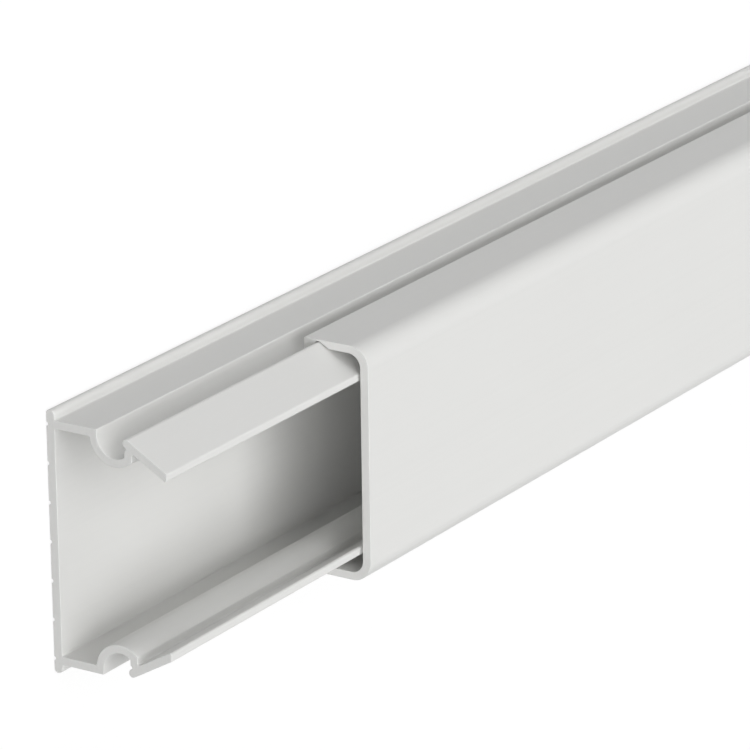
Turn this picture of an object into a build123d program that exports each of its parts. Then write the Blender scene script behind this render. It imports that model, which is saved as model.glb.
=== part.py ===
from build123d import *
import math
import os

# Cord cover raceway: a wall channel of extruded white PVC with a cover that clips over it.
# Both pieces are one straight section each, drawn as half a section and mirrored.
# Millimetres. X runs along the length, Y across the channel, Z from its back face to its cover.
# In a section, the first number is the distance from the centre line, the second the height in Z.

# Sizes of the whole
LENGTH = 400.0           # both pieces are cut to the same stock length
BACK_WIDTH = 35.0        # across the back, from lip to lip
DEPTH = 19.6             # from the back face to the front of the cover
WALL = 1.1               # flanges, groove and lip of the channel, legs of the cover
FACE_WALL = 1.25         # the channel's back and the cover's front
COVER_SETBACK = 42.7     # the cover stands this far back from the channel's near end

# Channel: back and flanges
BACK_LIP = 1.25          # the back stands out this far past each flange
SCORE_PITCH = 5.2        # between the score lines along the back
SCORE_RADIUS = 0.25      # each score line is half round
SCORE_MARGIN = 1.0       # kept free of score lines at each edge of the back

# Channel: clip groove, bead and guide lip
GROOVE_HEIGHT = 10.2     # the round groove's centre, above the back face
GROOVE_RADIUS = 2.6
GROOVE_SINK = 0.8        # the groove's centre lies this far inside the flange's outer face
GROOVE_HALF_FRONT = 1.5  # from the groove's centre to its flat front wall
GROOVE_EDGE = 0.15       # rounding of the flange's edge along the groove
BEAD_SINK = 1.1          # the centre of the bead, inside the flange's outer face
BEAD_INSET = 0.3         # the centre of the bead, behind the face of the groove's front wall
UNDERCUT_RADIUS = 0.25   # the half-round undercut between the bead and the groove's front wall
LIP_SLOPE = 30.0         # degrees that the guide lip leans in towards the middle
LIP_GAP = 0.35           # from the lip's tip to the inside of the cover

# Cover
COVER_INSET = 0.15       # the legs stand this far inside the flanges' outer faces
CORNER_RADIUS = 2.9      # outside radius of the cover's two long corners
SLOT_WIDTH = 2.2         # the open slot left along the channel between flange and hook
HOOK_REACH = 2.4         # the hook's length below the cover's outer face
HOOK_LEAD = 0.6          # rounding on the hook's front tip, which guides it past the bead
CLEARANCE = 0.1          # running clearance of the cover on the channel

# Rounding
EDGE_ROUND = 0.3         # free edges
ROOT_FILLET = 0.25       # inside corners

# Levels that both sections share
back_half = BACK_WIDTH / 2
flange_outer = back_half - BACK_LIP
flange_inner = flange_outer - WALL
groove_centre = flange_outer - GROOVE_SINK
groove_rear = GROOVE_HEIGHT - GROOVE_RADIUS
groove_front = GROOVE_HEIGHT + GROOVE_HALF_FRONT
wall_front = groove_front + WALL
bead_level = flange_outer - BEAD_SINK
bead_radius = WALL / 2
cover_inside = DEPTH - FACE_WALL


def block(y_low, y_high, z_low, z_high):
    """A rectangle of the section between two distances from the centre line and two heights."""
    middle = Pos((y_low + y_high) / 2, (z_low + z_high) / 2)
    return middle * Rectangle(y_high - y_low, z_high - z_low)


def rounded(section, radius, *corners):
    """The section with its corners at the given points rounded or filleted."""
    picked = [section.vertices().sort_by_distance(Vector(*corner))[0] for corner in corners]
    return fillet(picked, radius)


def both_halves(half):
    return half + mirror(half, about=Plane.YZ)


def extruded(section, start):
    """The section carried along X for the stock length, from where the piece starts."""
    return Pos(start, 0, 0) * extrude(Plane.YZ * section, LENGTH)


def groove_walls():
    """The round clip groove under the flange: a half-round trough whose flat front wall stands up as
    far as the bead."""
    centre = Pos(groove_centre, GROOVE_HEIGHT)
    outside = centre * Circle(GROOVE_RADIUS + WALL)
    rear = block(0, groove_centre, 0, GROOVE_HEIGHT)
    front = block(0, bead_level, GROOVE_HEIGHT, wall_front)
    inside = centre * Circle(GROOVE_RADIUS)
    inside &= block(0, groove_centre, 0, groove_front)
    return (outside & (rear + front)) - inside


def guide_lip():
    """The plate that leans in from the groove's front wall. Its foot is a full round, the bead that the
    cover's hook snaps behind, and its tip is cut level with the back."""
    slope = math.radians(LIP_SLOPE)
    bead_height = groove_front + BEAD_INSET
    run = bead_radius * math.cos(slope)
    rise = bead_radius * math.sin(slope)
    tip = cover_inside - LIP_GAP

    def inner_face(height):
        """Where the lip's inner face lies at a height."""
        return bead_level - run - (height - bead_height + rise) * math.tan(slope)

    tip_inner = inner_face(tip)
    tip_outer = tip_inner + WALL / math.cos(slope)
    outline = Polyline(
        (bead_level + run, bead_height + rise),
        (tip_outer, tip),
        (tip_inner, tip),
        (bead_level - run, bead_height - rise),
        close=True,
    )
    plate = rounded(make_face(outline), EDGE_ROUND, (tip_outer, tip), (tip_inner, tip))
    bead = Pos(bead_level, bead_height) * Circle(bead_radius)
    return plate + bead, (inner_face(wall_front), wall_front)


def undercut():
    """The half-round line cut into the groove's front wall where the bead leaves it."""
    bead_foot = bead_level - math.sqrt(bead_radius**2 - BEAD_INSET**2)
    return Pos(bead_foot - UNDERCUT_RADIUS, groove_front) * Circle(UNDERCUT_RADIUS)


def score_lines():
    """Half-round lines along the back face, evenly spaced from the centre line outwards."""
    outermost = math.floor((back_half - SCORE_MARGIN) / SCORE_PITCH)
    places = [Pos(step * SCORE_PITCH, 0) for step in range(-outermost, outermost + 1)]
    return Sketch() + [place * Circle(SCORE_RADIUS) for place in places]


def channel_half():
    """Half of the channel: back, flange, clip groove, bead and guide lip."""
    lip, lip_root = guide_lip()
    back = block(0, back_half, 0, FACE_WALL)
    flange = block(flange_inner, flange_outer, 0, groove_rear)
    half = back + flange + groove_walls() + lip - undercut()
    outer_radius = GROOVE_RADIUS + WALL
    groove_root = GROOVE_HEIGHT - math.sqrt(outer_radius**2 - (groove_centre - flange_inner) ** 2)
    groove_heel = groove_centre - math.sqrt(outer_radius**2 - (wall_front - GROOVE_HEIGHT) ** 2)
    half = rounded(
        half,
        ROOT_FILLET,
        (flange_outer, FACE_WALL),
        (flange_inner, FACE_WALL),
        (flange_inner, groove_root),
        lip_root,
    )
    half = rounded(half, GROOVE_EDGE, (flange_outer, groove_rear))
    return rounded(
        half,
        EDGE_ROUND,
        (back_half, 0),
        (back_half, FACE_WALL),
        (groove_heel, wall_front),
    )


def cover_half():
    """Half of the cover: front, rounded corner, leg, and the hook that drops into the groove."""
    leg_outer = flange_outer - COVER_INSET
    leg_inner = leg_outer - WALL
    hook_rear = groove_rear + SLOT_WIDTH
    hook_front = groove_front - CLEARANCE
    hook_tip = leg_outer - HOOK_REACH
    outline = FilletPolyline(
        (0, DEPTH),
        (leg_outer, DEPTH),
        (leg_outer, hook_rear),
        (hook_tip, hook_rear),
        (hook_tip, hook_front),
        (leg_inner, hook_front),
        (leg_inner, cover_inside),
        (0, cover_inside),
        radius=[
            CORNER_RADIUS,
            EDGE_ROUND,
            EDGE_ROUND,
            HOOK_LEAD,
            EDGE_ROUND,
            CORNER_RADIUS - WALL,
        ],
    )
    blank = make_face(outline + Line((0, cover_inside), (0, DEPTH)))
    return blank - offset(channel_half(), CLEARANCE)


base_channel = extruded(both_halves(channel_half()) - score_lines(), -LENGTH / 2)
clip_on_cover = extruded(both_halves(cover_half()), -LENGTH / 2 + COVER_SETBACK)

os.makedirs("parts", exist_ok=True)
export_step(base_channel, "parts/base_channel.step")
export_step(clip_on_cover, "parts/clip_on_cover.step")
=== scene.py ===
import bpy
import numpy as np
from mathutils import Matrix, Vector


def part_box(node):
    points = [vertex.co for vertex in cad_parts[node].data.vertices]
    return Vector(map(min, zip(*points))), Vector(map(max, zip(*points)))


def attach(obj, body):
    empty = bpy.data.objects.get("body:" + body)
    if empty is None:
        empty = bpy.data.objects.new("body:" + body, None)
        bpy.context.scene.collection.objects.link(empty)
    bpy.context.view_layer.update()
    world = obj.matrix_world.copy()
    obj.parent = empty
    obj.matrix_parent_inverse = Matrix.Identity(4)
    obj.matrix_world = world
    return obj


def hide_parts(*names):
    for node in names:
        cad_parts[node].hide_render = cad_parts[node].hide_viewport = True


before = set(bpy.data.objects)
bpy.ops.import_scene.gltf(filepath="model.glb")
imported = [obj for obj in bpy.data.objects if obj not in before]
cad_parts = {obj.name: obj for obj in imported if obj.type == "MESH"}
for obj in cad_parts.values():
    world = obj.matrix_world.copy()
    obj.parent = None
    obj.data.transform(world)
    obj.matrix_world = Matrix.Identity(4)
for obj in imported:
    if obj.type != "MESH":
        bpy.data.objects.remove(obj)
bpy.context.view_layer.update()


# Wall channel
# The raceway's back half: one PVC extrusion with a flat scored back, two flanges, and on each flange
# a round clip groove, a bead, and a guide lip that leans in from the bead. It is glued or screwed to
# the wall, and its ends are sawn square.

channel_low, channel_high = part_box("base_channel")

pvc_white = (0.76, 0.76, 0.745, 1.0)
wall = 0.0011
face_wall = 0.00125
back_half = channel_high.y
back_lip = 0.00125
back_rear_round = 0.0005
back_front_round = 0.0007
flange_outer = back_half - back_lip
flange_inner = flange_outer - wall

groove_height = 0.0102
groove_radius = 0.0026
groove_sink = 0.0008
groove_half_front = 0.0015
groove_edge = 0.00015
groove_centre = flange_outer - groove_sink
groove_rear = groove_height - groove_radius
groove_front = groove_height + groove_half_front
wall_front = groove_front + wall

bead_sink = 0.0011
bead_inset = 0.0003
bead_radius = wall / 2
bead = np.array([flange_outer - bead_sink, groove_front + bead_inset])
undercut_radius = 0.00025

lip_slope = np.radians(30.0)
lip_tip = channel_high.z

edge_round = 0.0003
root_fillet = 0.00025
score_pitch = 0.0052
score_radius = 0.00025
score_steps = 3
line_edge = 0.0001


def arc(centre, radius, start, end):
    """Points of a round stretch of a section: centre plus radius times (cosine, sine) of an angle
    that runs from start to end in degrees. 0 points away from the centre line, 90 to the front.
    The steps get shorter as the radius grows, so that every arc is equally true."""
    groove_step = 7.5
    fewest_steps = 2
    step = groove_step * np.sqrt(groove_radius / radius)
    steps = max(int(np.ceil(abs(end - start) / step)), fewest_steps)
    angle = np.radians(np.linspace(start, end, steps + 1))
    return np.array(centre) + radius * np.stack([np.cos(angle), np.sin(angle)], 1)


def rounded(points, radii):
    """A run of straight faces with its inner corners rounded. Each corner becomes the arc that touches
    both of its faces: its centre lies on the corner's bisector, radius / sin(half angle) away."""
    pieces = []
    for before, corner, after, radius in zip(points, points[1:], points[2:], radii):
        corner = np.array(corner)
        to_before = (before - corner) / np.linalg.norm(before - corner)
        to_after = (after - corner) / np.linalg.norm(after - corner)
        half = np.arccos(np.dot(to_before, to_after)) / 2
        bisector = (to_before + to_after) / np.linalg.norm(to_before + to_after)
        centre = corner + bisector * radius / np.sin(half)
        first = corner + to_before * radius / np.tan(half) - centre
        last = corner + to_after * radius / np.tan(half) - centre
        start = np.degrees(np.arctan2(first[1], first[0]))
        turn = np.degrees(np.arctan2(last[1], last[0])) - start
        turn = (turn + 180) % 360 - 180
        pieces.append(arc(centre, radius, start, start + turn))
    return np.concatenate(pieces)


def angle_at(centre, point):
    """The angle, in degrees from 0 to 360, at which a point lies round a centre."""
    return np.degrees(np.arctan2(point[1] - centre[1], point[0] - centre[0])) % 360


def line_cut(radius):
    """A half-round line cut across a flat face, from one side to the other, centred on 0 with the
    material above it. Each edge is rounded by a circle that touches the face and the line's own circle."""
    lean = np.degrees(np.arcsin(line_edge / (radius + line_edge)))
    reach = np.sqrt((radius + line_edge) ** 2 - line_edge**2)
    return np.concatenate(
        [
            arc((-reach, line_edge), line_edge, -90, -lean),
            arc((0, 0), radius, 180 - lean, lean),
            arc((reach, line_edge), line_edge, 180 + lean, 270),
        ]
    )


def channel_flank():
    """One side of the channel's section, from the back lip round the groove, bead and guide lip and
    back along the inside, as (distance from the centre line, height)."""
    groove = np.array([groove_centre, groove_height])
    outer_radius = groove_radius + wall

    back_and_flange = rounded(
        [
            (0, 0),
            (back_half, 0),
            (back_half, face_wall),
            (flange_outer, face_wall),
            (flange_outer, groove_rear),
            (groove_centre, groove_rear),
        ],
        [back_rear_round, back_front_round, root_fillet, groove_edge],
    )
    front_angle = 180 - np.degrees(np.arcsin((groove_front - groove_height) / groove_radius))
    groove_floor = arc(groove, groove_radius, 270, front_angle)

    # The undercut ends where the bead, a full round at the foot of the lip, leaves the groove's wall.
    bead_meet = np.degrees(np.arcsin((bead[1] - groove_front) / bead_radius))
    bead_foot = bead[0] - bead_radius * np.cos(np.radians(bead_meet))
    line = line_cut(undercut_radius)
    undercut = line[line[:, 0] < undercut_radius - line_edge] + (bead_foot - undercut_radius, groove_front)
    bead_round = arc(bead, bead_radius, 180 + bead_meet, 360 + np.degrees(lip_slope))

    outward = np.array([np.cos(lip_slope), np.sin(lip_slope)])
    foot_outer = bead + bead_radius * outward
    foot_inner = bead - bead_radius * outward
    tip_outer = foot_outer[0] - (lip_tip - foot_outer[1]) * np.tan(lip_slope)
    tip_inner = foot_inner[0] - (lip_tip - foot_inner[1]) * np.tan(lip_slope)
    root_inner = foot_inner[0] - (wall_front - foot_inner[1]) * np.tan(lip_slope)
    lip = rounded(
        [
            foot_outer,
            (tip_outer, lip_tip),
            (tip_inner, lip_tip),
            (root_inner, wall_front),
            (groove_centre - outer_radius, wall_front),
        ],
        [edge_round, edge_round, root_fillet],
    )

    # Both roundings where the groove's outside meets a flat face are circles that touch the two.
    heel_z = wall_front - edge_round
    heel_reach = np.sqrt((outer_radius - edge_round) ** 2 - (heel_z - groove_height) ** 2)
    heel = np.array([groove_centre - heel_reach, heel_z])
    heel_angle = angle_at(groove, heel)
    root_y = flange_inner - root_fillet
    root_drop = np.sqrt((outer_radius + root_fillet) ** 2 - (groove_centre - root_y) ** 2)
    root = np.array([root_y, groove_height - root_drop])
    root_angle = angle_at(groove, root)
    groove_outside = np.concatenate(
        [
            arc(heel, edge_round, 90, heel_angle),
            arc(groove, outer_radius, heel_angle, root_angle),
            arc(root, root_fillet, root_angle - 180, 0),
        ]
    )
    inside = rounded(
        [(flange_inner, groove_rear), (flange_inner, face_wall), (0, face_wall)],
        [root_fillet],
    )
    return np.concatenate(
        [back_and_flange, groove_floor, undercut, bead_round, lip, groove_outside, inside]
    )


def score_lines():
    """The back face from one edge to the other: half-round lines at an even pitch."""
    places = np.arange(-score_steps, score_steps + 1) * score_pitch
    return np.concatenate([line_cut(score_radius) + (place, 0) for place in places])


def extrusion(name, outline, start, end):
    """Carries a closed outline along X. Towards each sawn end the outline draws in along its own
    normals by ease * (1 - cosine) while X runs out by ease * sine of an angle from 0 to 90 degrees,
    so that the cut edge is broken by a small quarter round. A flat cap closes each end."""
    ease = 0.00008
    ease_rows = 4
    length_rows = 41
    same_point = 1e-7
    sharp_from = np.radians(38)

    outline = outline[np.linalg.norm(outline - np.roll(outline, 1, 0), axis=1) > same_point]
    along = np.roll(outline, -1, 0) - np.roll(outline, 1, 0)
    outward = np.stack([along[:, 1], -along[:, 0]], 1)
    outward /= np.linalg.norm(outward, axis=1, keepdims=True)

    turn = np.radians(np.linspace(90, 0, ease_rows))
    ease_x = ease * (1 - np.sin(turn))
    ease_in = ease * (1 - np.cos(turn))
    between = np.linspace(start + ease, end - ease, length_rows)[1:-1]
    x = np.concatenate([start + ease_x, between, end - ease_x[::-1]])
    inset = np.concatenate([ease_in, 0 * between, ease_in[::-1]])
    section = outline[None] - inset[:, None, None] * outward[None]
    rows, points = section.shape[:2]
    verts = np.concatenate([np.broadcast_to(x[:, None, None], (rows, points, 1)), section], 2)

    row, point = np.meshgrid(np.arange(rows - 1), np.arange(points), indexing="ij")
    ahead = (point + 1) % points
    quads = np.stack(
        [row * points + point, row * points + ahead, (row + 1) * points + ahead, (row + 1) * points + point],
        -1,
    ).reshape(-1, 4)
    first_cap = np.arange(points)[::-1]
    last_cap = (rows - 1) * points + np.arange(points)
    faces = quads.tolist() + [first_cap.tolist(), last_cap.tolist()]

    mesh = bpy.data.meshes.new(name)
    mesh.from_pydata(verts.reshape(-1, 3), [], faces)
    mesh.shade_smooth()
    mesh.set_sharp_from_angle(angle=sharp_from)
    piece = bpy.data.objects.new(name, mesh)
    bpy.context.scene.collection.objects.link(piece)
    even = piece.modifiers.new("even_normals", "WEIGHTED_NORMAL")
    even.keep_sharp = True
    return piece


class Shade:
    """A socket of a material, on which plus, minus and times add Math nodes."""

    def __init__(self, tree, socket):
        self.tree = tree
        self.socket = socket

    def node(self, kind, settings=None, output=0, **inputs):
        """Adds a node of any kind: settings first, then the values or links of its inputs, each by its
        name or, as i and a number, by its place. Returns the chosen output."""
        made = self.tree.nodes.new(kind)
        for key, value in (settings or {}).items():
            setattr(made, key, value)
        for key, value in inputs.items():
            target = int(key[1:]) if key[1:].isdigit() else key
            self.feed(made.inputs[target], value)
        return Shade(self.tree, made.outputs[output])

    def feed(self, target, value):
        if isinstance(value, Shade):
            self.tree.links.new(value.socket, target)
        else:
            target.default_value = value

    def math(self, operation, first, second):
        return self.node("ShaderNodeMath", {"operation": operation}, i0=first, i1=second)

    def __add__(self, other):
        return self.math("ADD", self, other)

    __radd__ = __add__

    def __sub__(self, other):
        return self.math("SUBTRACT", self, other)

    def __rsub__(self, other):
        return self.math("SUBTRACT", other, self)

    def __mul__(self, other):
        return self.math("MULTIPLY", self, other)

    __rmul__ = __mul__


def white_pvc(name, white):
    """Satin white PVC as it leaves the die: fine lines along the length in sheen and height, and a
    faint cloudiness across the colour. The sawn ends, which face along X, are rougher, with the
    saw's slanting lines across them."""
    die_lines_per_metre = 1600.0
    die_line_breaks_per_metre = 3.0
    die_line_share = 0.6
    clouds_per_metre = 60.0
    saw_lines_per_metre = 4000.0
    saw_line_breaks_per_metre = 300.0
    saw_slant = np.radians(20.0)
    saw_relief = 2.0
    sawn_from = 0.9
    darkest_part = 0.95
    moulded_roughness = 0.34
    die_line_roughness = 0.12
    cloud_roughness = 0.06
    sawn_roughness = 0.52
    saw_line_roughness = 0.2
    relief_depth = 0.00002
    pvc_ior = 1.53

    material = bpy.data.materials.new(name)
    material.use_nodes = True
    tree = material.node_tree
    surface = tree.nodes["Principled BSDF"]
    start = Shade(tree, None)
    place = start.node("ShaderNodeTexCoord", output="Object")
    facing = start.node("ShaderNodeNewGeometry", output="Normal")
    facing_x = start.node("ShaderNodeSeparateXYZ", output="X", Vector=facing)
    along = start.node("ShaderNodeMath", {"operation": "ABSOLUTE"}, i0=facing_x)
    sawn = start.node("ShaderNodeMath", {"operation": "GREATER_THAN"}, i0=along, i1=sawn_from)

    die_scale = (die_line_breaks_per_metre, die_lines_per_metre, die_lines_per_metre)
    die_place = start.node("ShaderNodeMapping", Vector=place, Scale=die_scale)
    die_lines = start.node("ShaderNodeTexNoise", Vector=die_place, Scale=1.0, Detail=3.0, Roughness=0.6)
    clouds = start.node("ShaderNodeTexNoise", Vector=place, Scale=clouds_per_metre, Detail=4.0)
    saw_scale = (1.0, saw_line_breaks_per_metre, saw_lines_per_metre)
    saw_turn = (saw_slant, 0.0, 0.0)
    saw_place = start.node("ShaderNodeMapping", Vector=place, Rotation=saw_turn, Scale=saw_scale)
    saw_lines = start.node("ShaderNodeTexNoise", Vector=saw_place, Scale=1.0, Detail=2.0)

    moulded_tone = clouds * (1.0 - die_line_share) + die_lines * die_line_share
    tone = moulded_tone + sawn * (saw_lines - moulded_tone)
    shade = tuple(darkest_part * part for part in white[:3]) + (1.0,)
    colour = start.node("ShaderNodeMix", {"data_type": "RGBA"}, output=2, i0=tone, i6=shade, i7=white)
    start.feed(surface.inputs["Base Color"], colour)
    moulded_rough = moulded_roughness + die_line_roughness * die_lines + cloud_roughness * clouds
    sawn_rough = sawn_roughness + saw_line_roughness * saw_lines
    rough = moulded_rough + sawn * (sawn_rough - moulded_rough)
    start.feed(surface.inputs["Roughness"], rough)
    relief = die_lines + sawn * (saw_lines * saw_relief - die_lines)
    bump = start.node("ShaderNodeBump", Height=relief, Strength=1.0, Distance=relief_depth)
    start.feed(surface.inputs["Normal"], bump)
    surface.inputs["IOR"].default_value = pvc_ior
    return material


flank = channel_flank()
channel_outline = np.concatenate([score_lines(), flank, (flank * (-1, 1))[::-1]])
channel = extrusion("channel_extrusion", channel_outline, channel_low.x, channel_high.x)
channel.data.materials.append(white_pvc("white_pvc_channel", pvc_white))
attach(channel, "base")
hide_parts("base_channel")


# Clip-on cover
# The raceway's front half: one PVC extrusion with a flat front, two rounded corners and two legs.
# Each leg is thinned over the channel's bead and ends in a hook that snaps into the groove.

cover_low, cover_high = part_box("clip_on_cover")

clearance = 0.0001
corner_radius = 0.0029
slot_width = 0.0022
hook_reach = 0.0024
hook_lead = 0.0006
cover_depth = cover_high.z
cover_inside = cover_depth - face_wall
cover_half = cover_high.y
leg_inside = cover_half - wall


def cover_flank():
    """One side of the cover's section: front, rounded corner, leg and hook, and the hollow that runs
    round the bead and along the guide lip at the running clearance."""
    hook_rear = groove_rear + slot_width
    hook_front = groove_front - clearance
    hook_tip = cover_half - hook_reach
    outside = rounded(
        [
            (0, cover_depth),
            (cover_half, cover_depth),
            (cover_half, hook_rear),
            (hook_tip, hook_rear),
            (hook_tip, hook_front),
            (bead[0], hook_front),
        ],
        [corner_radius, edge_round, edge_round, hook_lead],
    )
    hollow_radius = bead_radius + clearance
    hollow_meet = np.degrees(np.arcsin((bead[1] - hook_front) / hollow_radius))
    hollow = arc(bead, hollow_radius, 180 + hollow_meet, 360 + np.degrees(lip_slope))
    hollow_end = hollow[-1]
    slope_end = hollow_end[1] + (hollow_end[0] - leg_inside) / np.tan(lip_slope)
    inside = rounded(
        [
            hollow_end,
            (leg_inside, slope_end),
            (leg_inside, cover_inside),
            (0, cover_inside),
        ],
        [clearance, corner_radius - wall],
    )
    return np.concatenate([outside, hollow, inside])


flank = cover_flank()
cover_outline = np.concatenate([flank * (-1, 1), flank[::-1]])
cover = extrusion("cover_extrusion", cover_outline, cover_low.x, cover_high.x)
cover.data.materials.append(white_pvc("white_pvc_cover", pvc_white))
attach(cover, "cover")
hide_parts("clip_on_cover")


# Floor and light
# A plain pale floor under the raceway, lit by four broad lamps and an even surround. What the camera
# sees of the floor and the surround is white, with a little of the raceway's shadow left on the floor.

plain_white = (1.0, 1.0, 1.0, 1.0)
floor_half = 4.0
floor_drop = 0.0001
floor_grey = 0.3
floor_roughness = 0.9
floor_glow = 1.725
floor_glow_share = 0.5
surround_level = 0.1

x = np.array([-1, 1, 1, -1]) * floor_half
y = np.array([-1, -1, 1, 1]) * floor_half
floor_mesh = bpy.data.meshes.new("floor")
floor_mesh.from_pydata(np.stack([x, y, 0 * x - floor_drop], 1), [], [(0, 1, 2, 3)])
floor = bpy.data.objects.new("floor", floor_mesh)
bpy.context.scene.collection.objects.link(floor)


def seen_as_white(start):
    """1 on the rays that show the background, straight or in a gloss, and 0 on those that light."""
    camera_ray = start.node("ShaderNodeLightPath", output="Is Camera Ray")
    glossy_ray = start.node("ShaderNodeLightPath", output="Is Glossy Ray")
    transmission_ray = start.node("ShaderNodeLightPath", output="Is Transmission Ray")
    return start.node("ShaderNodeClamp", Value=camera_ray + glossy_ray + transmission_ray)


floor_paint = bpy.data.materials.new("pale_floor")
floor_paint.use_nodes = True
tree = floor_paint.node_tree
start = Shade(tree, None)
matt = tree.nodes["Principled BSDF"]
matt.inputs["Base Color"].default_value = (floor_grey, floor_grey, floor_grey, 1.0)
matt.inputs["Roughness"].default_value = floor_roughness
matt.inputs["Specular IOR Level"].default_value = 0.0
glow = start.node("ShaderNodeEmission", Color=plain_white, Strength=floor_glow)
share = seen_as_white(start) * floor_glow_share
mixed = start.node("ShaderNodeMixShader", Fac=share, i1=Shade(tree, matt.outputs["BSDF"]), i2=glow)
start.feed(tree.nodes["Material Output"].inputs["Surface"], mixed)
floor_mesh.materials.append(floor_paint)

world = bpy.data.worlds.new("surround")
bpy.context.scene.world = world
world.use_nodes = True
start = Shade(world.node_tree, None)
surround = world.node_tree.nodes["Background"]
surround.inputs["Color"].default_value = plain_white
start.feed(surround.inputs["Strength"], surround_level + seen_as_white(start) * (1.0 - surround_level))


def lamp(name, towards, level, spread):
    """A broad far lamp. A white face square to it shines at the given level, and spread is the angle
    in degrees that the lamp fills, seen from the raceway. The gloss mirrors the white surround alone."""
    data = bpy.data.lights.new(name, "SUN")
    data.energy = np.pi * level
    data.angle = np.radians(spread)
    made = bpy.data.objects.new(name, data)
    made.rotation_euler = Vector(towards).to_track_quat("Z", "Y").to_euler()
    made.visible_glossy = False
    bpy.context.scene.collection.objects.link(made)


lamp("overhead_lamp", towards=(-0.3, 0.12, 0.95), level=0.645, spread=60)
lamp("end_lamp", towards=(-0.9, 0.0, 0.43), level=0.39, spread=45)
lamp("side_lamp", towards=(0.30, 0.93, 0.24), level=0.315, spread=60)
lamp("far_side_lamp", towards=(0.40, -0.90, 0.15), level=0.18, spread=60)


# Camera
# The raceway lies on its back, and the camera looks down on it from its near end, turned on its side
# so that the raceway's width stands upright in the picture.

sensor = 36.0
focal_in_picture_widths = 7.356
camera_place = Vector((-0.71372, 0.24584, 0.38356))
sight = Vector((0.79036, -0.33104, -0.51551)).normalized()
roll = np.radians(0.776)
nearest_seen = 0.05

upright = Vector((0, 1, 0))
upright = (upright - sight * upright.dot(sight)).normalized()
sideways = sight.cross(upright)
up = upright * np.cos(roll) + sideways * np.sin(roll)
right = sight.cross(up)
camera_data = bpy.data.cameras.new("camera")
camera_data.sensor_width = sensor
camera_data.lens = sensor * focal_in_picture_widths
camera_data.clip_start = nearest_seen
camera = bpy.data.objects.new("camera", camera_data)
camera.matrix_world = Matrix((right, up, -sight)).transposed().to_4x4()
camera.location = camera_place
bpy.context.scene.collection.objects.link(camera)
bpy.context.scene.camera = camera
bpy.context.scene.view_settings.view_transform = "Standard"
